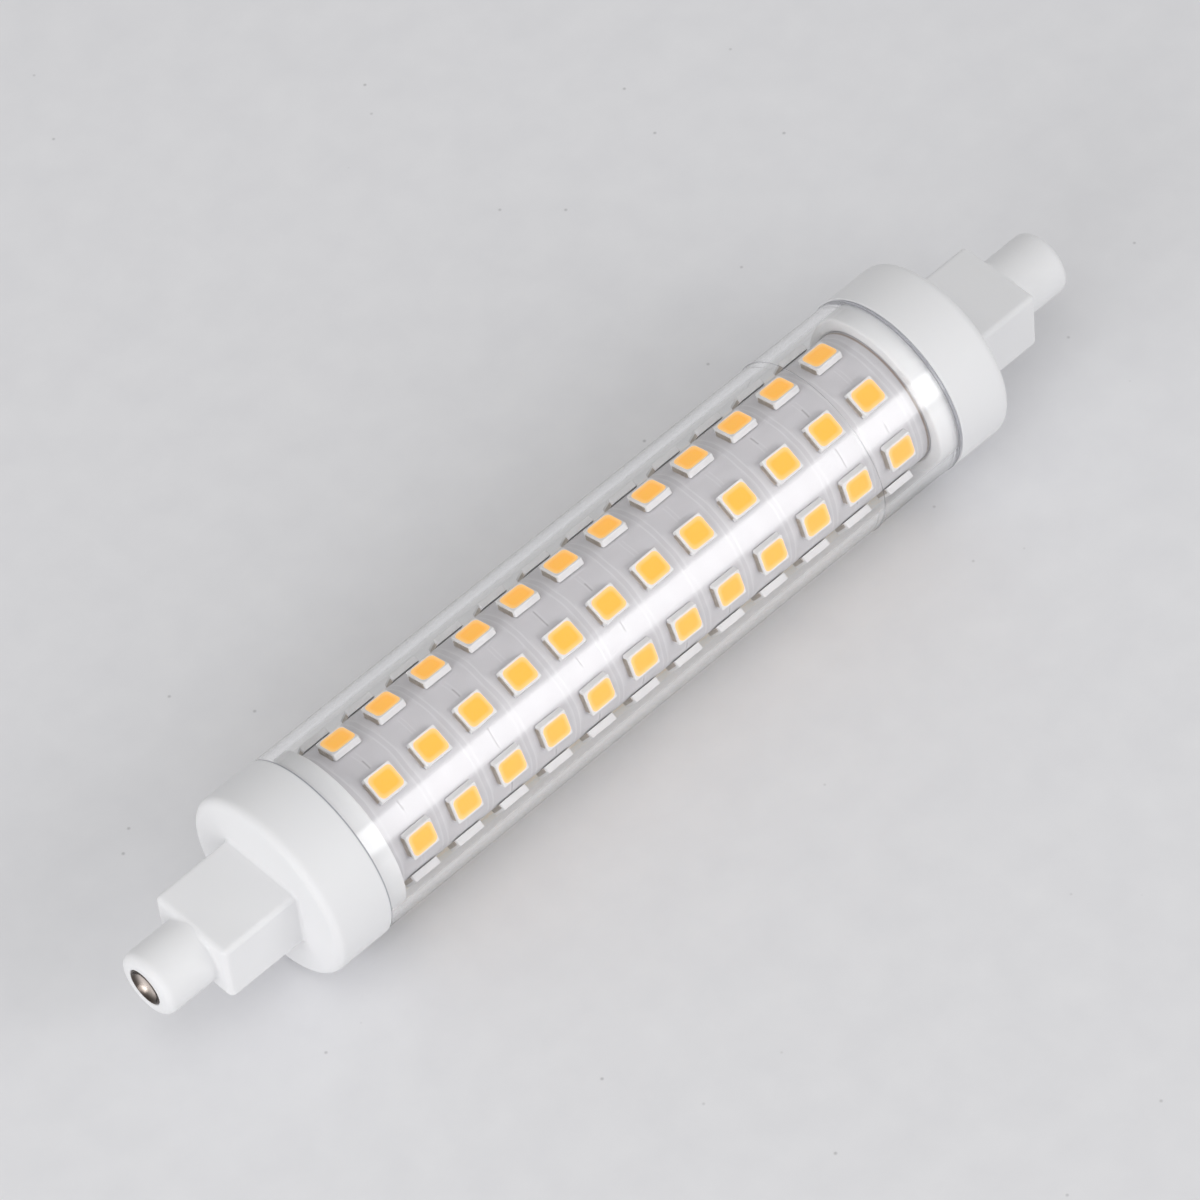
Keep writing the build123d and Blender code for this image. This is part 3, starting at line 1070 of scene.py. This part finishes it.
@dataclass
class Tube:
    """Clear tube between the caps, the film round its right end, and the beads that bed its ends."""

    radius: float = 9.9
    wall: float = 1.0
    half_length: float = 37.42
    edge_radius: float = 0.06
    bead_start: float = 37.34
    bead_end: float = 37.47
    bead_inset: float = 0.03
    film_gap: float = 0.012
    film_thickness: float = 0.075
    film_edge_radius: float = 0.01875
    film_start: float = 26.9
    film_end: float = 37.1
    points: int = 240
    edge_steps: int = 3

    def shell_loops(self, start: float, end: float, inner: float, outer: float, edge: float) -> list[Loop]:
        """Loops round the wall of a tube with rounded ends.

        Args:
            start: Where it starts along the lamp.
            end: Where it ends.
            inner: Its inner radius.
            outer: Its outer radius.
            edge: The radius of its edges.

        Returns:
            Loops over the outside and back through the inside.
        """
        angles, steps = even_angles(self.points), self.edge_steps
        # A ring just inside each rounded edge keeps the long faces' shading from bending towards it
        hold = 3 * edge
        return [
            *rounded_edge((start, outer), edge, Way.OUT, Way.RIGHT, steps, angles),
            circle_loop(start + hold, outer, angles),
            circle_loop(end - hold, outer, angles),
            *rounded_edge((end, outer), edge, Way.RIGHT, Way.IN, steps, angles),
            *rounded_edge((end, inner), edge, Way.IN, Way.LEFT, steps, angles),
            circle_loop(end - hold, inner, angles),
            circle_loop(start + hold, inner, angles),
            *rounded_edge((start, inner), edge, Way.LEFT, Way.OUT, steps, angles),
        ]

    def add_bead(self, end: End, adhesive: bpy.types.Material) -> bpy.types.Object:
        """Add the bead of adhesive that beds one end of the tube.

        Args:
            end: The end of the lamp that it is at.
            adhesive: The bead's material.

        Returns:
            The bead's object.
        """
        angles = even_angles(self.points)
        inner = self.radius - self.wall + self.bead_inset
        outer = self.radius - self.bead_inset
        corners = (
            (self.bead_start, outer),
            (self.bead_end, outer),
            (self.bead_end, inner),
            (self.bead_start, inner),
        )
        name = f"{end.word}_bead"
        loops = half_turn([circle_loop(x, radius, angles) for x, radius in corners], end)
        return add_piece(name, skin(name, loops, closed=True), adhesive)

    def build(
        self, glass: bpy.types.Material, film: bpy.types.Material, adhesive: bpy.types.Material
    ) -> list[bpy.types.Object]:
        """Build and dress the tube, its film and its two beads of adhesive.

        Args:
            glass: The tube's material.
            film: The film's material.
            adhesive: The beads' material.

        Returns:
            All four objects.
        """
        bore = self.radius - self.wall
        wall = self.shell_loops(-self.half_length, self.half_length, bore, self.radius, self.edge_radius)
        tube = add_piece("lamp_tube", skin("lamp_tube", wall, closed=True), glass)
        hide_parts("clear_tube")
        inner = self.radius + self.film_gap
        outer = inner + self.film_thickness
        wrap = self.shell_loops(self.film_start, self.film_end, inner, outer, self.film_edge_radius)
        sheet = add_piece("tube_film", skin("tube_film", wrap, closed=True), film)
        return [tube, sheet, *(self.add_bead(end, adhesive) for end in End)]


@dataclass
class LedRows:
    """Eight rows of LEDs round the board: white packages, phosphor windows and plated terminals."""

    RIM_ATTRIBUTE = "rim"

    rows: int = 8
    per_row: int = 12
    pitch: float = 5.67
    first_row: float = 27.3
    shift: float = -0.25
    skew: float = 0.035
    board_radius: float = 7.5
    seat_gap: float = 0.02
    length: float = 3.2
    width: float = 2.8
    height: float = 0.7
    corner: float = 0.12
    top_bevel: float = 0.05
    draft: float = 0.05
    window_length: float = 2.9
    window_width: float = 2.37
    window_corner: float = 0.48
    window_depth: float = 0.15
    window_draft: float = 0.1
    window_shift: float = 0.06
    fill_foot_inset: float = 0.14
    fill_foot_lift: float = 0.02
    fill_inset: float = 0.03
    fill_drop: float = 0.01
    meniscus: float = 0.035
    rim_band: float = 0.9
    heart_band: float = 1.44
    terminal_width: float = 2.1
    terminal_height: float = 0.42
    terminal_thickness: float = 0.07
    terminal_overlap: float = 0.02
    terminal_bend: float = 0.03
    solder_reach: float = 0.07
    solder_foot: float = 0.012
    solder_knee: float = 0.06
    solder_top: float = 0.16
    seed: int = 7
    slide: float = 0.05
    yaw: float = 1.0
    body_sharp: float = 30.0
    window_sharp: float = 50.0

    def rounded(
        self, size: tuple[float, float], inset: float, corner: float, z: float, shift: float = 0.0
    ) -> Loop:
        """Points of a rounded rectangle, long side along the lamp.

        Args:
            size: Its length and width before the inset.
            inset: What is taken off both.
            corner: Its corner radius.
            z: Its height.
            shift: How far it is moved along the lamp.

        Returns:
            The loop's points.
        """
        steps = 3
        half_length, half_width = ((side - inset) / 2 - corner for side in size)
        points = []
        for number, (sx, sy) in enumerate(((1, 1), (-1, 1), (-1, -1), (1, -1))):
            for step in range(steps + 1):
                turn = math.pi / 2 * (number + step / steps)
                x = sx * half_length + corner * math.cos(turn) + shift
                points.append((x, sy * half_width + corner * math.sin(turn), z))
        return points

    def package_unit(self) -> bpy.types.Mesh:
        """Mesh of one package, standing on the seat with its window's recess open.

        Returns:
            The mesh data, in metres.
        """
        body = (self.length, self.width)
        window = (self.window_length, self.window_width)
        floor = self.height - self.window_depth
        loops = [
            self.rounded(body, 0.0, self.corner, self.seat_gap),
            self.rounded(body, self.draft, self.corner, self.height - self.top_bevel),
            self.rounded(body, self.draft + 2 * self.top_bevel, self.corner, self.height),
            self.rounded(window, 0.0, self.window_corner, self.height, self.window_shift),
            self.rounded(window, self.window_draft, self.window_corner, floor, self.window_shift),
        ]
        return skin("package_unit", loops, closed=False)

    def window_unit(self) -> bpy.types.Mesh:
        """Mesh of one window, filled level with its rim and drawn down a little in the middle.

        Returns:
            The mesh data, in metres, with the window's rim marked in an attribute.
        """
        window = (self.window_length, self.window_width)
        level = self.height - self.fill_drop
        foot = self.height - self.window_depth + self.fill_foot_lift
        # Each loop's inset, its corner as a share of the window's, and its height
        outline = (
            (self.fill_foot_inset, 1.0, foot),
            (self.fill_inset, 1.0, level),
            (self.rim_band, 0.8, level - 0.6 * self.meniscus),
            (self.heart_band, 0.6, level - self.meniscus),
        )
        loops = [
            self.rounded(window, inset, share * self.window_corner, z, self.window_shift)
            for inset, share, z in outline
        ]
        mesh = skin("window_unit", loops, closed=False)
        rim = mesh.attributes.new(self.RIM_ATTRIBUTE, "FLOAT", "POINT")
        outer_points = 2 * len(loops[0])
        for index, point in enumerate(rim.data):
            point.value = 1.0 if index < outer_points else 0.0
        return mesh

    def terminal_unit(self) -> bpy.types.Mesh:
        """Mesh of one LED's two terminals, each a bent strip with its solder fillet.

        Returns:
            The mesh data, in metres.
        """
        half = self.length / 2
        out = half + self.terminal_thickness
        inside = half - self.terminal_overlap
        # Solder climbs the strip in a hollow curve, and the strip bends in over the package at its top
        profile = (
            (inside, self.solder_foot),
            (out + self.solder_reach, self.solder_foot),
            (out + 0.45 * self.solder_reach, self.solder_knee),
            (out + 0.12 * self.solder_reach, self.solder_top),
            (out, 0.75 * self.terminal_height),
            (out - self.terminal_bend, self.terminal_height),
            (inside, self.terminal_height),
        )
        half_width = self.terminal_width / 2
        mesh = bmesh.new()
        for end in (-1, 1):
            near, far = (
                [mesh.verts.new(Vector((end * x, y, z)) * MM) for x, z in profile]
                for y in (-half_width, half_width)
            )
            mesh.faces.new(near)
            mesh.faces.new(far[::-1])
            for i in range(len(profile)):
                j = (i + 1) % len(profile)
                mesh.faces.new((near[i], far[i], far[j], near[j]))
        return store_mesh("terminal_unit", mesh)

    def row_tree(self) -> tuple[bpy.types.NodeTree, dict[str, str]]:
        """Node tree that sets copies of a unit in rows round the board.

        Returns:
            The tree, and the identifier of each of its named inputs.
        """
        tree = bpy.data.node_groups.new("led_rows", "GeometryNodeTree")
        sockets = {
            "Unit": "NodeSocketGeometry",
            "Rows": "NodeSocketInt",
            "Per Row": "NodeSocketInt",
            "Pitch": "NodeSocketFloat",
            "Shift": "NodeSocketFloat",
            "Skew": "NodeSocketFloat",
            "Seat Radius": "NodeSocketFloat",
            "First Row": "NodeSocketFloat",
            "Slide": "NodeSocketFloat",
            "Yaw": "NodeSocketFloat",
            "Seed": "NodeSocketInt",
            "Material": "NodeSocketMaterial",
        }
        names = {
            name: tree.interface.new_socket(name, in_out="INPUT", socket_type=kind).identifier
            for name, kind in sockets.items()
        }
        tree.interface.new_socket("Geometry", in_out="OUTPUT", socket_type="NodeSocketGeometry")
        given = add_node(tree, "NodeGroupInput").outputs
        rows, per_row = given["Rows"], given["Per Row"]

        # Along the lamp: places in a row, even about its middle
        index = add_node(tree, "GeometryNodeInputIndex").outputs[0]
        column = add_node(tree, MATH, {"operation": "MODULO"}, (index, per_row))
        middle = add_node(tree, MATH, MULTIPLY, (add_node(tree, MATH, SUBTRACT, (per_row, 1.0)), 0.5))
        from_middle = add_node(tree, MATH, SUBTRACT, (column, middle))
        in_row = add_node(tree, MATH, MULTIPLY, (from_middle, given["Pitch"]))

        # Round the lamp: the board is rolled a hair askew, so its rows wind slowly
        row = add_node(tree, MATH, FLOOR, (add_node(tree, MATH, DIVIDE, (index, per_row)),))
        row_step = add_node(tree, MATH, DIVIDE, (2 * math.pi, rows))
        turn_of_row = add_node(tree, MATH, MULTIPLY, (row, row_step))
        even = add_node(tree, MATH, ADD, (given["First Row"], turn_of_row))
        wound = add_node(tree, MATH, MULTIPLY, (in_row, given["Skew"]))
        around = add_node(tree, MATH, ADD, (even, wound))

        # Pick and place is never quite even: each LED is a hair off its mark and a hair turned
        next_seed = add_node(tree, MATH, ADD, (given["Seed"], 1.0))
        errors = {}
        for name, seed in (("Slide", given["Seed"]), ("Yaw", next_seed)):
            lowest = add_node(tree, MATH, MULTIPLY, (given[name], -1.0))
            draw = {LOWEST: lowest, HIGHEST: given[name], "ID": index, "Seed": seed}
            errors[name] = add_node(tree, "FunctionNodeRandomValue", None, draw).outputs[DRAWN]

        set_over = add_node(tree, MATH, ADD, (in_row, given["Shift"]))
        x = add_node(tree, MATH, ADD, (set_over, errors["Slide"]))
        sine = add_node(tree, MATH, {"operation": "SINE"}, (around,))
        cosine = add_node(tree, MATH, {"operation": "COSINE"}, (around,))
        y_away = add_node(tree, MATH, MULTIPLY, (sine, given["Seat Radius"]))
        y = add_node(tree, MATH, MULTIPLY, (y_away, -1.0))
        z = add_node(tree, MATH, MULTIPLY, (cosine, given["Seat Radius"]))
        place = add_node(tree, "ShaderNodeCombineXYZ", None, (x, y, z))
        count = add_node(tree, MATH, MULTIPLY, (rows, per_row))
        points = add_node(tree, "GeometryNodePoints", None, (count, place))
        facing = add_node(tree, "FunctionNodeAxisAngleToRotation", None, ((1.0, 0.0, 0.0), around))
        twist = add_node(tree, "FunctionNodeAxisAngleToRotation", None, ((0.0, 0.0, 1.0), errors["Yaw"]))
        both = add_node(tree, "FunctionNodeRotateRotation", {"rotation_space": "LOCAL"}, (facing, twist))
        copied = {"Points": points, "Instance": given["Unit"], "Rotation": both}
        copies = add_node(tree, "GeometryNodeInstanceOnPoints", None, copied)
        real = add_node(tree, "GeometryNodeRealizeInstances", None, (copies,))
        finish = {"Geometry": real, "Material": given["Material"]}
        add_node(tree, "NodeGroupOutput", None, (add_node(tree, "GeometryNodeSetMaterial", None, finish),))
        return tree, names

    def spread(
        self,
        rows: tuple[bpy.types.NodeTree, dict[str, str]],
        name: str,
        unit: bpy.types.Mesh,
        material: bpy.types.Material,
    ) -> bpy.types.Mesh:
        """Set copies of a unit in all rows, as one plain mesh.

        Args:
            rows: The tree that sets them, and the identifiers of its inputs.
            name: The mesh's name.
            unit: The mesh that is repeated.
            material: The copies' material.

        Returns:
            The mesh data.
        """
        tree, names = rows
        maker = bpy.data.objects.new(f"{name}_maker", unit)
        bpy.context.scene.collection.objects.link(maker)
        modifier = maker.modifiers.new("rows", "NODES")
        modifier.node_group = tree
        values = {
            "Rows": self.rows,
            "Per Row": self.per_row,
            "Pitch": self.pitch * MM,
            "Shift": self.shift * MM,
            "Skew": math.radians(self.skew) / MM,
            "Seat Radius": self.board_radius * MM,
            "First Row": math.radians(self.first_row),
            "Slide": self.slide * MM,
            "Yaw": math.radians(self.yaw),
            "Seed": self.seed,
            "Material": material,
        }
        for label, value in values.items():
            modifier[names[label]] = value
        depsgraph = bpy.context.evaluated_depsgraph_get()
        data = bpy.data.meshes.new_from_object(
            maker.evaluated_get(depsgraph), preserve_all_data_layers=True, depsgraph=depsgraph
        )
        data.name = name
        maker.modifiers.remove(modifier)
        bpy.data.objects.remove(maker)
        return data

    def build(
        self, package: bpy.types.Material, phosphor: bpy.types.Material, terminal: bpy.types.Material
    ) -> list[bpy.types.Object]:
        """Build and dress all LEDs.

        Args:
            package: The packages' plastic.
            phosphor: The windows' fill.
            terminal: The terminals' metal.

        Returns:
            The three objects.
        """
        parts = (
            ("led_bodies", self.package_unit(), package, "led_package", self.body_sharp),
            ("led_phosphors", self.window_unit(), phosphor, "led_window", self.window_sharp),
            ("led_terminals", self.terminal_unit(), terminal, "contact", self.body_sharp),
        )
        rows = self.row_tree()
        pieces = []
        for name, unit, material, slot, sharp in parts:
            data = self.spread(rows, name, unit, material)
            pieces.append(add_piece(name, data, material, sharp))
        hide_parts(*(f"led_packages_{row + 1}" for row in range(self.rows)))
        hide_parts(*(f"led_windows_{row + 1}" for row in range(self.rows)))
        return pieces


def dress_node(name: str, material: bpy.types.Material) -> None:
    """Give a carried-over CAD node its material.

    Args:
        name: The node's name.
        material: Its material.
    """
    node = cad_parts[name]
    node.data.materials.clear()
    node.data.materials.append(material)
    LOG.info("%s: %s", name, material.name)


@dataclass
class Inside:
    """The rolled LED board, and the driver that it hides."""

    rows: LedRows = field(default_factory=LedRows)

    def dress(self) -> None:
        """Dress the board, the driver's parts and the leads."""
        # Pale lacquer over copper foil: a satin grey-white skin with the foil's gaps showing through as
        # lines with a painted highlight
        board = TraceBoard(
            name="white_solder_mask",
            mask="#C9C7CB",
            line="#DAD9DC",
            tick="#8A868A",
            cut_edge="#8E7660",
            pitch=self.rows.pitch,
            shift=self.rows.shift,
            row_step=360 / self.rows.rows,
            first_row=self.rows.first_row,
            skew=self.rows.skew,
            radius=self.rows.board_radius,
        )
        dress_node("led_board", board.build())
        # Pressed glass laminate under green lacquer: even and glossy
        laminate = MouldedPlastic(
            "green_glass_laminate", "#2F6B45", "#275C3B", roughness=0.35, cloud_size=1.2
        )
        dress_node("driver_board", laminate.build())
        # Filled epoxy out of a steel mould: near black, with a dull sheen
        epoxy = MouldedPlastic("black_epoxy_moulding", "#26262A", "#1F1F22", roughness=0.5, cloud_size=0.8)
        black = epoxy.build()
        for name in ("bridge_rectifier", "driver_chip", "chip_resistors"):
            dress_node(name, black)
        # Fired ceramic dipped in lacquer: pale green and shiny
        ceramic = MouldedPlastic("green_lacquered_ceramic", "#6F9C7C", "#66927A", roughness=0.25)
        dress_node("fuse", ceramic.build())
        # Aluminium drawn into a can: a bright blurred mirror with rings round its axis
        can = PlatedMetal("drawn_aluminium_can", "#C9CACD", "#B9BABE", roughness=0.3)
        dress_node("smoothing_capacitor", can.build())
        # Copper strip dipped in tin: silvery, with warm patches where the tin is thin
        link = PlatedMetal("tinned_copper_link", "#C7B9A6", "#A99274", roughness=0.3)
        dress_node("board_links", link.build())
        # Silicone rubber drawn over wire: matt and creamy
        silicone = MouldedPlastic("white_silicone_rubber", "#E9E7E1", "#E2DFD8", roughness=0.55).build()
        for end in End:
            dress_node(f"{end.word}_lead", silicone)


@dataclass(frozen=True)
class Softbox:
    """A softbox that faces the middle of the LED lamp.

    Attributes:
        name: The light's name.
        towards: Direction to it from the middle of the LED lamp.
        distance: How far away it stands, in millimetres.
        along: Its size along the LED lamp, in millimetres.
        across: Its size across the LED lamp, in millimetres.
        radiance: How bright its face is, where white paper in full light is one.
        fade: How far in from its long sides its face fades, as a share of its width.
    """

    name: str
    towards: Point
    distance: float
    along: float
    across: float
    radiance: float
    fade: float = 0.0

    # Past this share of its direction along the LED lamp, a softbox stands at the lamp's end
    END_ON = 0.8

    def fade_sides(self, data: bpy.types.AreaLight) -> None:
        """Let the softbox grow darker towards its long sides, as its cloth does.

        Args:
            data: The light's data.
        """
        data.use_nodes = True
        tree = data.node_tree
        tree.nodes.clear()
        place = add_node(tree, "ShaderNodeNewGeometry").outputs["Parametric"]
        across = add_node(tree, SPLIT, None, (place,)).outputs["Y"]
        off = add_node(tree, MATH, ABSOLUTE, (add_node(tree, MATH, SUBTRACT, (across, 0.5)),))
        limits = {"Value": off, "From Min": 0.5 - self.fade, "From Max": 0.5, "To Min": 1.0, "To Max": 0.0}
        level = add_node(tree, RANGE, SMOOTH, limits)
        glow = add_node(tree, "ShaderNodeEmission", None, {"Strength": level})
        add_node(tree, "ShaderNodeOutputLight", None, (glow,))

    def build(self) -> bpy.types.Object:
        """Set up the softbox.

        Returns:
            The light.
        """
        data = bpy.data.lights.new(self.name, "AREA")
        data.shape = "RECTANGLE"
        data.size, data.size_y = self.along * MM, self.across * MM
        data.energy = self.radiance * math.pi * data.size * data.size_y
        if self.fade:
            self.fade_sides(data)
        light = bpy.data.objects.new(self.name, data)
        back = Vector(self.towards).normalized()
        axis = Vector((0, 1, 0)) if abs(back.x) > self.END_ON else Vector((1, 0, 0))
        along = (axis - back * back.dot(axis)).normalized()
        axes = Matrix((along, back.cross(along), back)).transposed()
        light.matrix_world = Matrix.Translation(back * self.distance * MM) @ axes.to_4x4()
        bpy.context.scene.collection.objects.link(light)
        return light


@dataclass
class Studio:
    """Pale floor, soft lamps, even surroundings, and the camera where the photographer stood."""

    # The right softbox is the main lamp, whose image is the bright band down the tube. The left one lights
    # the near end, and the top one the floor and the tops of the caps.
    softboxes: tuple[Softbox, ...] = (
        Softbox("softbox_right", (0.386, -0.816, 0.432), 900, 620, 560, 2.7, 0.22),
        Softbox("softbox_left", (-0.93, -0.22, 0.28), 700, 500, 300, 3.9),
        Softbox("softbox_top", (-0.3, -0.1, 0.95), 1200, 800, 800, 0.94),
    )
    floor_half: float = 1500.0
    floor_height: float = -10.0
    camera_place: Point = (-263.332, -327.901, 537.707)
    camera_right: Point = (0.717361, -0.692885, -0.072825)
    camera_up: Point = (0.580163, 0.536219, 0.613091)
    camera_back: Point = (-0.385751, -0.482058, 0.786649)
    lens: float = 217.544
    sensor: float = 36.0
    clip_start: float = 10.0
    world_colour: str = "#FFFFFF"
    world_strength: float = 0.515

    def add_camera(self) -> None:
        """Put the camera where the photograph was taken, as fitted to the lamp's outline and LEDs."""
        data = bpy.data.cameras.new("camera")
        data.lens = self.lens
        data.sensor_width = self.sensor
        data.sensor_fit = "HORIZONTAL"
        data.clip_start = self.clip_start * MM
        camera = bpy.data.objects.new("camera", data)
        axes = Matrix((self.camera_right, self.camera_up, self.camera_back)).transposed()
        camera.matrix_world = Matrix.Translation(Vector(self.camera_place) * MM) @ axes.to_4x4()
        bpy.context.scene.collection.objects.link(camera)
        bpy.context.scene.camera = camera

    def add_world(self) -> None:
        """Surround the scene with even light, as a pale room does."""
        world = bpy.data.worlds.new("studio")
        bpy.context.scene.world = world
        world.use_nodes = True
        tree = world.node_tree
        tree.nodes.clear()
        light = {"Color": linear(self.world_colour), "Strength": self.world_strength}
        around = add_node(tree, "ShaderNodeBackground", None, light)
        add_node(tree, "ShaderNodeOutputWorld", None, {"Surface": around})

    def add_floor(self) -> None:
        """Lay the floor under the lamp."""
        half, z = self.floor_half * MM, self.floor_height * MM
        corners = [(-half, -half, z), (half, -half, z), (half, half, z), (-half, half, z)]
        data = bpy.data.meshes.new("floor")
        data.from_pydata(corners, [], [(0, 1, 2, 3)])
        # Chipboard under a pale sprayed paint: near matt, with a faint mottle
        data.materials.append(PaintedTable("painted_table", "#ECECEE", "#E2E2E5", "#A9A8AA").build())
        floor = bpy.data.objects.new("floor", data)
        bpy.context.scene.collection.objects.link(floor)

    def build(self) -> None:
        """Build the whole studio."""
        self.add_camera()
        self.add_world()
        self.add_floor()
        for softbox in self.softboxes:
            softbox.build()
        bpy.context.scene.view_settings.view_transform = "Standard"


def main() -> None:
    """Build the lamp and its studio."""
    logging.basicConfig(level=logging.INFO, format="%(name)s %(message)s")
    # PBT moulded in fine-grained steel: matt white, and light seeps a little way in at its edges
    white = MouldedPlastic("white_pbt_moulding", "#EAEAEB", "#E6E6E8", seep_depth=0.5).build()
    # Turned brass, nickel plated and worn: a warm blurred mirror, with painted shade in the corner of its
    # dish
    nickel = PlatedMetal(
        "nickel_plated_brass", "#EEE5DE", "#CDBDB2", roughness=0.26, corner="#352C27"
    ).build()
    # Drawn tube: clear and polished, with slow waves that only its highlights show
    glass = DrawnGlass("clear_drawn_tube", "#FFFFFF", "#FFFFFF").build()
    # Polyester film cut with a blade: all but unseen, with a grey line at its cut edge
    film = ClearFilm("clear_adhesive_film", "#FFFFFF", "#8B8B90").build()
    # Filled reflector plastic out of a polished mould: white and smoother than the caps
    package = MouldedPlastic(
        "white_reflector_plastic",
        "#E6E5E6",
        "#E1E0E1",
        roughness=0.4,
        cloud_size=2.0,
        grain_size=0.08,
        grain_height=0.002,
    ).build()
    # Silicone dispensed with amber phosphor in it: warm, with a painted glow, paler at its rim
    phosphor = PhosphorFill(
        "amber_phosphor_silicone", "#FA8C2A", "#FFB394", "#FA8022", glow="#FFF04E"
    ).build()
    # Tin plate after its pass through the oven: dull and a little brown
    terminal = PlatedMetal(
        "tarnished_tin_plate", "#D2C8BC", "#A79B8E", roughness=0.45, patch_size=0.35
    ).build()
    # Silicone adhesive pressed out by the tube's end: a matt blue-grey line at each seam
    adhesive = MouldedPlastic("grey_bedding_adhesive", "#B6B7BE", "#AEAFB6", grain_height=0.001).build()
    for end in End:
        EndCap().build(end, white)
        Contact().build(end, nickel)
    Tube().build(glass, film, adhesive)
    LedRows().build(package, phosphor, terminal)
    Inside().dress()
    Studio().build()


if __name__ == "__main__":
    main()
